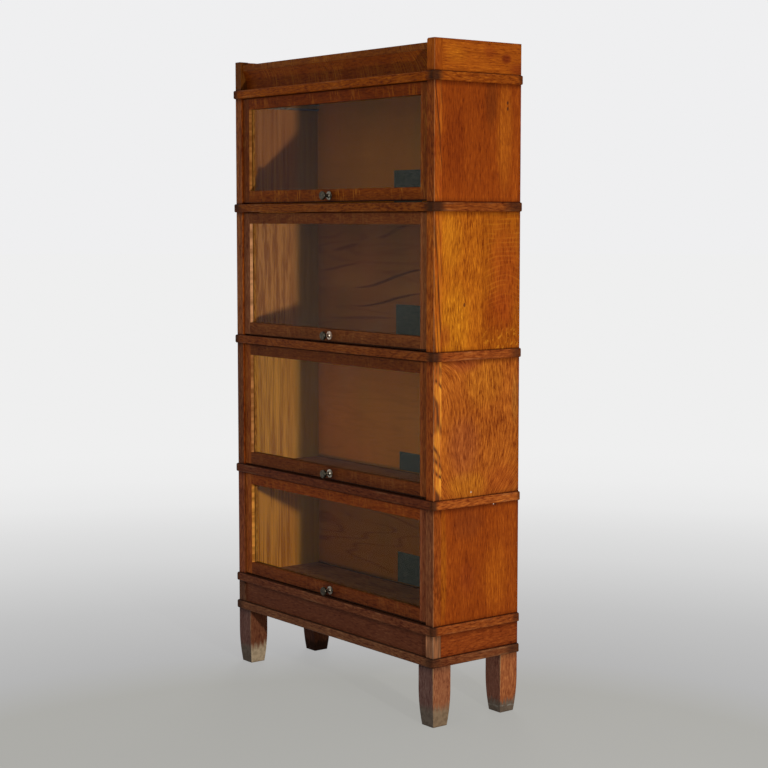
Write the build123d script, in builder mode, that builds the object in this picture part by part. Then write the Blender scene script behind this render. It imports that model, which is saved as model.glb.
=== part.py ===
from build123d import *
import os

# Barrister bookcase: four stacking sections with glazed lift-up doors, a crown on top and a
# legged base below. Millimetres. +Z up, the doors face -Y, +X is the right side seen from the
# front. The origin is the middle of the overall box at floor level.

# ------------------------------------------------------------------ driving sizes
case_width = 864.0          # across the outer faces of the side panels
case_depth = 277.0          # face of the posts to the back of the side panels
leg_height = 152.0          # floor to the underside of the lowest band
base_rail_height = 56.5     # aprons and posts of the base, between its two bands
short_opening = 288.5       # clear height between two bands, first and fourth section
tall_opening = 339.5        # clear height between two bands, second and third section
crown_height = 77.0         # sides of the crown above its band
crown_side_rise = 9.5       # how far the crown's sides stand above its front board

# bands: the rounded strips that run round the front and the sides of every unit
band_height = 22.5
band_reach = 6.0            # how far a band stands out from the case
band_corner_radius = 8.0
band_edge_radius = 4.0

# boards
side_thickness = 19.0
post_width = 28.0
post_depth = 25.0
floor_thickness = 18.0      # bottom board of a section, and the board in the base
back_thickness = 8.0
back_inset = 4.0            # back panel in from the rear edges of the sides
rear_rail_depth = 19.0      # rail across the back of a band frame, of the base and of the crown
deck_thickness = 12.0       # top board of the crown
edge_round = 1.5            # eased outer corner of the posts and the legs
seam_chamfer = 0.8          # open V where a side panel meets its post

# base
leg_side = 57.0
leg_taper_height = 96.0     # the lower length of a leg that curves inwards
leg_taper_inset = 6.5
apron_recess = 5.0          # front apron behind the faces of the posts
apron_thickness = 20.0

# crown
cove_top_recess = 4.0       # face of the fillet behind the faces of the crown posts
cove_foot_recess = 20.0     # foot of the hollow behind the same faces
cove_fillet_height = 16.0   # flat strip above the hollow
cove_step = 2.0             # quirk under the flat strip
cove_foot_height = 5.0      # flat strip below the hollow
crown_edge_round = 5.0      # long upper edges of the crown's sides

# doors
door_recess = 5.0           # face of a door behind the faces of the posts
door_thickness = 20.0
door_side_gap = 1.5
door_top_gap = 2.0
door_bottom_gap = 3.0
stile_width = 29.0
top_rail_width = 29.0
bottom_rail_width = 33.0
door_edge_round = 1.0
sight_edge_round = 0.8
glass_lip = 10.0            # wood in front of the glass
glass_thickness = 3.0
rebate_width = 7.0
glass_play = 1.0            # free space round the glass in its rebate

# pull knob, turned
knob_reach = 26.0
knob_flange_radius = 11.0
knob_flange_thickness = 2.0
knob_neck_radius = 4.5
knob_neck_flare = 2.0       # the neck widens by this at the flange
knob_flange_dome = 1.0
knob_head_radius = 11.5
knob_head_thickness = 8.0
knob_stud_radius = 2.5
knob_stud_length = 12.0
stud_hole_clearance = 0.1

# door travel: a shoe on each side rides between two runners and carries the hinge pin
pin_drop = 12.0             # hinge axis below the upper edge of the door
pin_radius = 2.5
pin_hole_clearance = 0.1
pin_depth = 12.0            # pin inside the stile
pin_hole_end_gap = 1.0
shoe_height = 8.0
shoe_nose = 6.0             # shoe in front of the pin
shoe_tail = 34.0            # shoe behind the pin
shoe_wall_gap = 0.5         # shoe to the side panel
shoe_running_gap = 0.3      # shoe to the runners, above and below
shoe_front_gap = 0.5        # shoe to the front end of its groove
runner_height = 6.0
runner_width = 8.0
runner_end_gap = 1.0        # runner to the back panel
rod_radius = 3.0
rod_setback = 21.0          # cross rod behind the hinge axis

# paper shelf labels, blank, of the four sections
label_1_width = 120.0
label_1_height = 87.0
label_2_width = 111.0
label_2_height = 88.5
label_3_width = 95.0
label_3_height = 50.0
label_4_width = 103.0
label_4_height = 84.0
label_sizes = {
    1: (label_1_width, label_1_height),
    2: (label_2_width, label_2_height),
    3: (label_3_width, label_3_height),
    4: (label_4_width, label_4_height),
}
label_thickness = 0.3
label_right = 60.0          # right edges of the labels, from the middle of the case
label_lift = 3.0            # lower edge of a label above the floor of its section

# ------------------------------------------------------------------ places worked out
door_width = case_width - 2 * (post_width + door_side_gap)
side_x = case_width / 2                      # outer face of a side
inner_x = side_x - side_thickness            # inner face of a side panel
post_x = side_x - post_width                 # inner face of a post
door_x = door_width / 2                      # outer edge of a door
band_x = side_x + band_reach                 # outer face of a band

front_reach = max(knob_reach - door_recess, band_reach)
face_y = (front_reach - case_depth) / 2      # faces of the posts
post_back_y = face_y + post_depth
rear_y = face_y + case_depth
rear_rail_y = rear_y - rear_rail_depth
band_y = face_y - band_reach
back_face_y = rear_y - back_inset - back_thickness
door_y = face_y + door_recess
door_back_y = door_y + door_thickness
glass_y = door_y + glass_lip
bead_y = glass_y + glass_thickness
pin_y = door_y + door_thickness / 2
shoe_front_y = pin_y - shoe_nose
runner_end_y = back_face_y - runner_end_gap

base_band_z = leg_height
base_frame_z = base_band_z + band_height
first_band_z = base_frame_z + base_rail_height

# sections from the top down: 1 short, 2 tall, 3 tall, 4 short
openings = {4: short_opening, 3: tall_opening, 2: tall_opening, 1: short_opening}
band_z = {}
next_band_z = first_band_z
for number, opening in openings.items():
    band_z[number] = next_band_z
    next_band_z += band_height + opening
crown_band_z = next_band_z
crown_z = crown_band_z + band_height
crown_top_z = crown_z + crown_height
crown_front_top_z = crown_top_z - crown_side_rise

os.makedirs("parts", exist_ok=True)


def add_box(x, y, z, mode=Mode.ADD):
    """Add a box to the builder in use, from its lower and upper bound on each axis."""
    middle = [(low + high) / 2 for low, high in (x, y, z)]
    with Locations(tuple(middle)):
        Box(x[1] - x[0], y[1] - y[0], z[1] - z[0], mode=mode)


def save(name, *builders):
    """Write one node. Pieces that touch stay separate solids of the same node."""
    node = Compound([solid for builder in builders for solid in builder.part.solids()])
    node.label = name
    export_step(node, f"parts/{name}.step")


# ------------------------------------------------------------------ band frames
def make_band(name, z):
    """Front strip, two side strips and a rear rail, mitred at the front corners."""
    with BuildPart() as ring:
        with BuildSketch(Plane.XY.offset(z)) as outline:
            with Locations((0, (band_y + rear_y) / 2)):
                Rectangle(2 * band_x, rear_y - band_y)
            fillet(outline.vertices().group_by(Axis.Y)[0], band_corner_radius)
        extrude(amount=band_height)
        levels = ring.edges().group_by(Axis.Z)
        rims = (levels[0] + levels[-1]).filter_by(lambda edge: edge.center().Y < rear_y - band_edge_radius)
        fillet(rims, band_edge_radius)
        add_box((-inner_x, inner_x), (post_back_y, rear_rail_y), (z, z + band_height), Mode.SUBTRACT)

    with BuildPart() as front:
        add(ring.part)
        with BuildSketch(Plane.XY.offset(z)):
            Polygon(
                (-band_x, band_y), (band_x, band_y), (inner_x, post_back_y), (-inner_x, post_back_y),
                align=None,
            )
        extrude(amount=band_height, mode=Mode.INTERSECT)
    with BuildPart() as right:
        add(ring.part)
        with BuildSketch(Plane.XY.offset(z)):
            Polygon(
                (band_x, band_y), (band_x, rear_y), (inner_x, rear_y), (inner_x, post_back_y),
                align=None,
            )
        extrude(amount=band_height, mode=Mode.INTERSECT)
    with BuildPart() as left:
        add(right.part)
        mirror(about=Plane.YZ, mode=Mode.REPLACE)
    with BuildPart() as rear:
        add_box((-inner_x, inner_x), (rear_rail_y, rear_y), (z, z + band_height))
    save(name, front, right, left, rear)


# ------------------------------------------------------------------ sections
def make_posts(name, z, height, pin_z=None):
    """The two front posts. A groove for the door's shoe opens to the back of each post."""
    with BuildPart() as posts:
        with BuildSketch(Plane.XY.offset(z)) as profile:
            with Locations(((post_x + side_x) / 2, (face_y + post_back_y) / 2)):
                Rectangle(post_width, post_depth)
            outer = profile.vertices().group_by(Axis.X)[-1].sort_by(Axis.Y)
            inner = profile.vertices().group_by(Axis.X)[0].sort_by(Axis.Y)
            chamfer(outer[-1], seam_chamfer)
            fillet(outer[0], edge_round)
            fillet(inner[0], sight_edge_round)
        extrude(amount=height)
        if pin_z is not None:
            half_groove = shoe_height / 2 + shoe_running_gap
            add_box(
                (post_x, inner_x),
                (shoe_front_y - shoe_front_gap, post_back_y),
                (pin_z - half_groove, pin_z + half_groove),
                Mode.SUBTRACT,
            )
        mirror(about=Plane.YZ)
    save(name, posts)


def make_sides(name, z, height):
    """Left and right side panels, flush with the posts outside."""
    with BuildPart() as sides:
        with BuildSketch(Plane.XY.offset(z)) as profile:
            with Locations(((inner_x + side_x) / 2, (post_back_y + rear_y) / 2)):
                Rectangle(side_thickness, rear_y - post_back_y)
            chamfer(profile.vertices().group_by(Axis.X)[-1].sort_by(Axis.Y)[0], seam_chamfer)
        extrude(amount=height)
        mirror(about=Plane.YZ)
    save(name, sides)


def make_back(name, z, height):
    with BuildPart() as back:
        add_box((-inner_x, inner_x), (back_face_y, back_face_y + back_thickness), (z, z + height))
    save(name, back)


def make_floor(name, top_z):
    """Bottom board inside a band frame, flush with the top of the band."""
    with BuildPart() as floor:
        add_box((-inner_x, inner_x), (post_back_y, rear_rail_y), (top_z - floor_thickness, top_z))
    save(name, floor)


def make_runners(name, pin_z):
    """Upper and lower runner on each side panel; the shoe slides between them."""
    channel = shoe_height / 2 + shoe_running_gap
    with BuildPart() as runners:
        for low, high in (
            (pin_z - channel - runner_height, pin_z - channel),
            (pin_z + channel, pin_z + channel + runner_height),
        ):
            add_box((inner_x - runner_width, inner_x), (post_back_y, runner_end_y), (low, high))
        mirror(about=Plane.YZ)
    save(name, runners)


def make_carriage(name, pin_z):
    """Two shoes with their hinge pins, and the cross rod that keeps them level."""
    shoe_outer = inner_x - shoe_wall_gap
    shoe_inner = inner_x - runner_width
    with BuildPart() as shoes:
        add_box(
            (shoe_inner, shoe_outer),
            (shoe_front_y, pin_y + shoe_tail),
            (pin_z - shoe_height / 2, pin_z + shoe_height / 2),
        )
        pin_plane = Plane(origin=(shoe_inner, pin_y, pin_z), x_dir=(0, 1, 0), z_dir=(-1, 0, 0))
        with BuildSketch(pin_plane):
            Circle(pin_radius)
        extrude(amount=shoe_inner - (door_x - pin_depth))
        mirror(about=Plane.YZ)
    with BuildPart() as rod:
        with BuildSketch(Plane.YZ.offset(-shoe_inner)):
            with Locations((pin_y + rod_setback, pin_z)):
                Circle(rod_radius)
        extrude(amount=2 * shoe_inner)
    save(name, shoes, rod)


# ------------------------------------------------------------------ doors
def make_door(number, floor_z, opening):
    """Frame of two stiles and two rails, its glass, the beads behind it and the knob."""
    low_z = floor_z + door_bottom_gap
    high_z = floor_z + opening - door_top_gap
    pin_z = high_z - pin_drop
    sight_x = door_x - stile_width
    sight_low_z = low_z + bottom_rail_width
    sight_high_z = high_z - top_rail_width
    rebate_x = sight_x + rebate_width
    rebate_z = (sight_low_z - rebate_width, sight_high_z + rebate_width)
    knob_z = low_z + bottom_rail_width / 2

    with BuildPart() as stiles:
        add_box((sight_x, door_x), (door_y, door_back_y), (low_z, high_z))
        front = stiles.faces().sort_by(Axis.Y)[0]
        fillet(front.edges().filter_by(Axis.Z).sort_by(Axis.X)[-1], door_edge_round)
        front = stiles.faces().sort_by(Axis.Y)[0]
        fillet(front.edges().filter_by(Axis.Z).sort_by(Axis.X)[0], sight_edge_round)
        add_box((sight_x, rebate_x), (glass_y, door_back_y), rebate_z, Mode.SUBTRACT)
        hole_plane = Plane(origin=(door_x, pin_y, pin_z), x_dir=(0, 1, 0), z_dir=(-1, 0, 0))
        with BuildSketch(hole_plane):
            Circle(pin_radius + pin_hole_clearance)
        extrude(amount=pin_depth + pin_hole_end_gap, mode=Mode.SUBTRACT)
        mirror(about=Plane.YZ)
    with BuildPart() as top_rail:
        add_box((-sight_x, sight_x), (door_y, door_back_y), (sight_high_z, high_z))
        front = top_rail.faces().sort_by(Axis.Y)[0]
        fillet(front.edges().filter_by(Axis.X).sort_by(Axis.Z)[0], sight_edge_round)
        add_box((-sight_x, sight_x), (glass_y, door_back_y), (sight_high_z, rebate_z[1]), Mode.SUBTRACT)
    with BuildPart() as bottom_rail:
        add_box((-sight_x, sight_x), (door_y, door_back_y), (low_z, sight_low_z))
        front = bottom_rail.faces().sort_by(Axis.Y)[0]
        fillet(front.edges().filter_by(Axis.X).sort_by(Axis.Z)[-1], sight_edge_round)
        add_box((-sight_x, sight_x), (glass_y, door_back_y), (rebate_z[0], sight_low_z), Mode.SUBTRACT)
        with BuildSketch(Plane.XZ.offset(-door_y)):
            with Locations((0, knob_z)):
                Circle(knob_stud_radius + stud_hole_clearance)
        extrude(amount=-knob_stud_length - stud_hole_clearance, mode=Mode.SUBTRACT)
    save(f"door_{number}_frame", stiles, top_rail, bottom_rail)

    with BuildPart() as glass:
        add_box(
            (-rebate_x + glass_play, rebate_x - glass_play),
            (glass_y, bead_y),
            (rebate_z[0] + glass_play, rebate_z[1] - glass_play),
        )
    save(f"door_{number}_glass", glass)

    with BuildPart() as upright_beads:
        add_box((sight_x, rebate_x), (bead_y, door_back_y), rebate_z)
        mirror(about=Plane.YZ)
    with BuildPart() as level_beads:
        add_box((-sight_x, sight_x), (bead_y, door_back_y), (rebate_z[0], sight_low_z))
        add_box((-sight_x, sight_x), (bead_y, door_back_y), (sight_high_z, rebate_z[1]))
    save(f"door_{number}_glazing_beads", upright_beads, level_beads)

    make_knob(f"door_{number}_knob", knob_z)


def make_knob(name, knob_z):
    """Turned pull: flange on the rail, slim neck, dished head, and a stud into the rail."""
    head_back = knob_reach - knob_head_thickness
    rim_round = knob_head_thickness / 4
    flare_radius = knob_neck_radius + knob_neck_flare
    neck_start = -knob_flange_thickness - knob_flange_dome
    with BuildPart() as knob:
        turning_plane = Plane(origin=(0, door_y, knob_z), x_dir=(1, 0, 0), z_dir=(0, 0, 1))
        with BuildSketch(turning_plane):
            with BuildLine():
                Polyline(
                    (0, knob_stud_length),
                    (knob_stud_radius, knob_stud_length),
                    (knob_stud_radius, 0),
                    (knob_flange_radius, 0),
                    (knob_flange_radius, -knob_flange_thickness),
                    (flare_radius, neck_start),
                )
                ThreePointArc(
                    (flare_radius, neck_start),
                    (knob_neck_radius, (neck_start - head_back) / 2),
                    (knob_head_radius - rim_round, -head_back),
                )
                ThreePointArc(
                    (knob_head_radius - rim_round, -head_back),
                    (knob_head_radius, -(head_back + knob_reach) / 2),
                    (knob_head_radius - rim_round, -knob_reach),
                )
                Polyline((knob_head_radius - rim_round, -knob_reach), (0, -knob_reach), (0, knob_stud_length))
            make_face()
        revolve(axis=Axis((0, door_y, knob_z), (0, 1, 0)))
    save(name, knob)


# ------------------------------------------------------------------ base
def make_leg(name, side, end):
    """Square leg, curved inwards on all four faces towards the foot."""
    half = leg_side / 2
    foot = half - leg_taper_inset
    middle_x = side * (side_x - half)
    middle_y = face_y + half if end == "front" else rear_y - half
    # the taper is an arc that leaves the upright face without a kink
    arc_radius = (leg_taper_height**2 + leg_taper_inset**2) / (2 * leg_taper_inset)
    with BuildPart() as leg:
        for plane, centre in ((Plane.XZ, middle_x), (Plane.YZ, middle_y)):
            with BuildSketch(plane):
                with BuildLine():
                    RadiusArc((centre + foot, 0), (centre + half, leg_taper_height), -arc_radius)
                    Line((centre + half, leg_taper_height), (centre + half, leg_height))
                    Line((centre + half, leg_height), (centre - half, leg_height))
                    Line((centre - half, leg_height), (centre - half, leg_taper_height))
                    RadiusArc((centre - half, leg_taper_height), (centre - foot, 0), -arc_radius)
                    Line((centre - foot, 0), (centre + foot, 0))
                make_face()
            mode = Mode.ADD if plane == Plane.XZ else Mode.INTERSECT
            extrude(amount=case_width, both=True, mode=mode)
        corners = leg.edges().filter_by(lambda edge: abs(edge.tangent_at(0.5).Z) > 0.9)
        fillet(corners, edge_round)
    save(name, leg)


def make_base():
    for side_name, side in (("left", -1), ("right", 1)):
        for end in ("front", "back"):
            make_leg(f"leg_{end}_{side_name}", side, end)
    make_band("base_lower_band", base_band_z)
    make_floor("base_board", base_band_z + floor_thickness)
    make_posts("base_posts", base_frame_z, base_rail_height)
    with BuildPart() as front_apron:
        add_box(
            (-post_x, post_x),
            (face_y + apron_recess, face_y + apron_recess + apron_thickness),
            (base_frame_z, first_band_z),
        )
    with BuildPart() as rear_rail:
        add_box((-inner_x, inner_x), (rear_rail_y, rear_y), (base_frame_z, first_band_z))
    save("base_front_and_rear_rails", front_apron, rear_rail)
    make_sides("base_side_rails", base_frame_z, base_rail_height)


# ------------------------------------------------------------------ crown
def make_crown():
    make_band("crown_band", crown_band_z)
    make_floor("crown_bottom_board", crown_z)

    with BuildPart() as posts:
        with BuildSketch(Plane.XY.offset(crown_z)) as profile:
            with Locations(((post_x + side_x) / 2, (face_y + post_back_y) / 2)):
                Rectangle(post_width, post_depth)
            outer = profile.vertices().group_by(Axis.X)[-1].sort_by(Axis.Y)
            chamfer(outer[-1], seam_chamfer)
            fillet(outer[0], edge_round)
        extrude(amount=crown_height)
        top_edges = posts.edges().group_by(Axis.Z)[-1].filter_by(Axis.Y).sort_by(Axis.X)
        fillet(top_edges[0], crown_edge_round)
        mirror(about=Plane.YZ)
    with BuildPart() as panels:
        with BuildSketch(Plane.XY.offset(crown_z)) as profile:
            with Locations(((inner_x + side_x) / 2, (post_back_y + rear_y) / 2)):
                Rectangle(side_thickness, rear_y - post_back_y)
            chamfer(profile.vertices().group_by(Axis.X)[-1].sort_by(Axis.Y)[0], seam_chamfer)
        extrude(amount=crown_height)
        top_edges = panels.edges().group_by(Axis.Z)[-1].filter_by(Axis.Y).sort_by(Axis.X)
        fillet(top_edges[0], crown_edge_round)
        mirror(about=Plane.YZ)
    save("crown_sides", posts, panels)

    fillet_y = face_y + cove_top_recess
    quirk_y = fillet_y + cove_step
    foot_y = face_y + cove_foot_recess
    hollow_top_z = crown_front_top_z - cove_fillet_height
    hollow_foot_z = crown_z + cove_foot_height
    with BuildPart() as cove:
        with BuildSketch(Plane.YZ.offset(-post_x)):
            with BuildLine():
                Polyline(
                    (foot_y, hollow_foot_z),
                    (foot_y, crown_z),
                    (post_back_y, crown_z),
                    (post_back_y, crown_front_top_z),
                    (fillet_y, crown_front_top_z),
                    (fillet_y, hollow_top_z),
                    (quirk_y, hollow_top_z),
                )
                JernArc(
                    start=(foot_y, hollow_foot_z),
                    tangent=(0, 1),
                    radius=cove_radius(foot_y - quirk_y, hollow_top_z - hollow_foot_z),
                    arc_size=cove_angle(foot_y - quirk_y, hollow_top_z - hollow_foot_z),
                )
            make_face()
        extrude(amount=2 * post_x)
    save("crown_front", cove)

    with BuildPart() as deck:
        add_box(
            (-inner_x, inner_x),
            (post_back_y, rear_rail_y),
            (crown_front_top_z - deck_thickness, crown_front_top_z),
        )
    save("crown_deck", deck)
    with BuildPart() as rear_rail:
        add_box((-inner_x, inner_x), (rear_rail_y, rear_y), (crown_z, crown_front_top_z))
    save("crown_rear_rail", rear_rail)


def cove_radius(run, rise):
    """Radius of the arc that starts upright and gains `run` sideways over `rise`."""
    return (run**2 + rise**2) / (2 * run)


def cove_angle(run, rise):
    """Angle of the same arc, in degrees."""
    return Vector(rise, run).get_angle(Vector(1, 0)) * 2


# ------------------------------------------------------------------ the whole case
make_base()
for number, opening in openings.items():
    floor_z = band_z[number] + band_height
    pin_z = floor_z + opening - door_top_gap - pin_drop
    make_band(f"section_{number}_band", band_z[number])
    make_floor(f"section_{number}_floor", floor_z)
    make_posts(f"section_{number}_posts", floor_z, opening, pin_z)
    make_sides(f"section_{number}_sides", floor_z, opening)
    make_back(f"section_{number}_back", floor_z, opening)
    make_runners(f"section_{number}_runners", pin_z)
    make_carriage(f"door_{number}_carriage", pin_z)
    make_door(number, floor_z, opening)
make_crown()

with BuildPart() as labels:
    for number in openings:
        label_z = band_z[number] + band_height + label_lift
        label_width, label_height = label_sizes[number]
        add_box(
            (label_right - label_width, label_right),
            (back_face_y - label_thickness, back_face_y),
            (label_z, label_z + label_height),
        )
save("shelf_labels", labels)
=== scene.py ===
from math import radians

import bpy
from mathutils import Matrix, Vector


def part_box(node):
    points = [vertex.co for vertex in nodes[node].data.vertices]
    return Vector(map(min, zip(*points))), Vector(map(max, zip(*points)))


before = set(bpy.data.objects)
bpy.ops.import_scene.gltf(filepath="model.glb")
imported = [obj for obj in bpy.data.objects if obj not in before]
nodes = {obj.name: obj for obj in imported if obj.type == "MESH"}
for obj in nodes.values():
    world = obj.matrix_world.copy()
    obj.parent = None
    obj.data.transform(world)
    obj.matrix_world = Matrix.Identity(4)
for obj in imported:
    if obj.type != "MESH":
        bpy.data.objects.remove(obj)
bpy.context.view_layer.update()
bpy.ops.object.select_all(action="DESELECT")
sections = (1, 2, 3, 4)  # from the top; 1 and 4 are the short ones


# ------------------------------------------------------------------ places, read from the frame
def low(node, axis):
    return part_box(node)[0]["xyz".index(axis)]


def high(node, axis):
    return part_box(node)[1]["xyz".index(axis)]


door_side_gap = 0.0015  # between a door and the post beside it
knob_head_depth = 0.010  # from the front of a knob to its neck
glass_rebate = 0.006  # how far the glass runs in behind the wood round it
inside_depth = 0.008  # a point this far in from a side's outer face is on its inner face
hair = 0.001  # a point this near a plane counts as on it
slack = 0.0012  # the same on a post, whose edges are eased
skin = 0.002  # thinner than any board, so it tells one face of a board from the other

side_x = high("section_2_sides", "x")  # outer face of a side panel
inner_x = high("section_2_back", "x")  # inner face of a side panel
post_x = high("door_2_frame", "x") + door_side_gap  # inner face of a post
post_y = low("section_2_posts", "y")  # faces of the posts
post_back_y = high("section_2_posts", "y")
rear_y = high("section_2_sides", "y")
band_x = high("section_2_band", "x")
band_y = low("section_2_band", "y")
door_y = low("door_2_frame", "y")
back_face_y = low("section_2_back", "y")
knob_neck_y = low("door_2_knob", "y") + knob_head_depth
sight_x = high("door_2_glass", "x") - glass_rebate  # edge of the wood round the glass
floor_z = {k: high(f"section_{k}_band", "z") for k in sections}
ceiling_z = {k: high(f"section_{k}_sides", "z") for k in sections}


# ------------------------------------------------------------------ material tools
class Wire:
    """An output socket. An expression on wires adds the Math nodes that work it out."""

    def __init__(self, tree, socket):
        self.tree = tree
        self.socket = socket

    def maths(self, operation, *values):
        return self.tree.add("ShaderNodeMath", {"operation": operation}, values)

    def __add__(self, other):
        return self.maths("ADD", self, other)

    def __sub__(self, other):
        return self.maths("SUBTRACT", self, other)

    def __rsub__(self, other):
        return self.maths("SUBTRACT", other, self)

    def __mul__(self, other):
        return self.maths("MULTIPLY", self, other)

    def __truediv__(self, other):
        return self.maths("DIVIDE", self, other)

    def __rtruediv__(self, other):
        return self.maths("DIVIDE", other, self)

    def __abs__(self):
        return self.maths("ABSOLUTE", self)

    def __gt__(self, other):
        return self.maths("GREATER_THAN", self, other)

    def __lt__(self, other):
        return self.maths("LESS_THAN", self, other)

    def root(self):
        return self.maths("SQRT", self)

    def wave(self):
        return self.maths("SINE", self)

    def larger(self, other):
        return self.maths("MAXIMUM", self, other)

    def smaller(self, other):
        return self.maths("MINIMUM", self, other)

    def fraction(self):
        return self.maths("FRACT", self)

    def ramp(self, start, end):
        """0 at start, 1 at end, with eased ends; start may be the larger."""
        settings = {"interpolation_type": "SMOOTHSTEP"}
        return self.tree.add("ShaderNodeMapRange", settings, (self, start, end, 0.0, 1.0))

    __radd__ = __add__
    __rmul__ = __mul__


class Tree:
    """A node tree, and the one method that adds nodes to it."""

    def __init__(self, node_tree):
        self.node_tree = node_tree
        node_tree.nodes.clear()

    def add(self, kind, settings=None, inputs=(), output=0):
        """Add a node, set it, then give its inputs values or wires, and return one output."""
        node = self.node_tree.nodes.new(kind)
        for key, value in (settings or {}).items():
            setattr(node, key, value)
        pairs = inputs.items() if isinstance(inputs, dict) else enumerate(inputs)
        for key, value in pairs:
            if isinstance(value, Wire):
                self.node_tree.links.new(value.socket, node.inputs[key])
            elif value is not None:
                node.inputs[key].default_value = value
        return Wire(self, node.outputs[output]) if len(node.outputs) else None


class Finish(Tree):
    """One material, with the object coordinates that its nodes read."""

    def __init__(self, name):
        self.material = bpy.data.materials.new(name)
        self.material.use_nodes = True
        super().__init__(self.material.node_tree)
        self.place = self.add("ShaderNodeTexCoord", output="Object")
        self.x, self.y, self.z = (
            self.add("ShaderNodeSeparateXYZ", None, (self.place,), output=axis) for axis in range(3)
        )
        self.ax = abs(self.x)  # the same for the left and the right of the case

    def point(self, x, y, z):
        return self.add("ShaderNodeCombineXYZ", None, (x, y, z))

    def noise(self, point, scale=1.0, detail=2.0, roughness=0.5, distortion=0.0):
        inputs = {
            "Vector": point,
            "Scale": scale,
            "Detail": detail,
            "Roughness": roughness,
            "Distortion": distortion,
        }
        return self.add("ShaderNodeTexNoise", None, inputs)

    def mix(self, share, first, second, blend="MIX"):
        settings = {"data_type": "RGBA", "blend_type": blend}
        inputs = {0: share, 6: colour(first), 7: colour(second)}
        return self.add("ShaderNodeMix", settings, inputs, output=2)

    def bump(self, height, strength, distance):
        inputs = {"Height": height, "Strength": strength, "Distance": distance}
        return self.add("ShaderNodeBump", None, inputs)

    def surface(self, inputs):
        shader = self.add("ShaderNodeBsdfPrincipled", None, inputs)
        return self.show(shader)

    def show(self, shader):
        self.add("ShaderNodeOutputMaterial", None, {"Surface": shader})
        return self.material


def colour(value):
    """A wire as it is, or three numbers as an opaque colour."""
    return value if isinstance(value, Wire) else (*value, 1.0)


def near(wire, place, reach):
    """1 on the plane at place, fading to 0 at reach from it."""
    return abs(wire - place).ramp(reach, 0.0)


def dress(material, *names):
    """Give the whole node one material."""
    for name in names:
        mesh = nodes[name].data
        if len(mesh.materials) == 0:
            mesh.materials.append(material)
        for slot in nodes[name].material_slots:
            slot.link = "OBJECT"
            slot.material = material


# ------------------------------------------------------------------ oak
def upright(f):
    """Grain up a post or a stile: along, across and through the board."""
    return f.z, f.x, f.y


def upright_panel(f):
    """Grain up a side panel."""
    return f.z, f.y, f.x


def crosswise(f):
    """Grain from left to right."""
    return f.x, f.z, f.y


def backwards(f):
    """Grain from the front to the rear."""
    return f.y, f.z, f.x


def chosen(mask, one, other):
    """Grain of one where the mask is 0 and of the other where it is 1."""
    return tuple(a + (b - a) * mask for a, b in zip(one, other))


def tinted(tone, red, green, blue):
    """A tone with each of its three parts multiplied."""
    return (tone[0] * red, tone[1] * green, tone[2] * blue)


pale_gain, dark_gain = 1.5, 0.42  # the lightest and the darkest wood, for its tone
polish = 0.03
joint_reach = 0.0016  # how far the dark of a glued joint spreads
board_shift = 0.37  # moves the pattern on, so that the next board has a figure of its own


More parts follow.
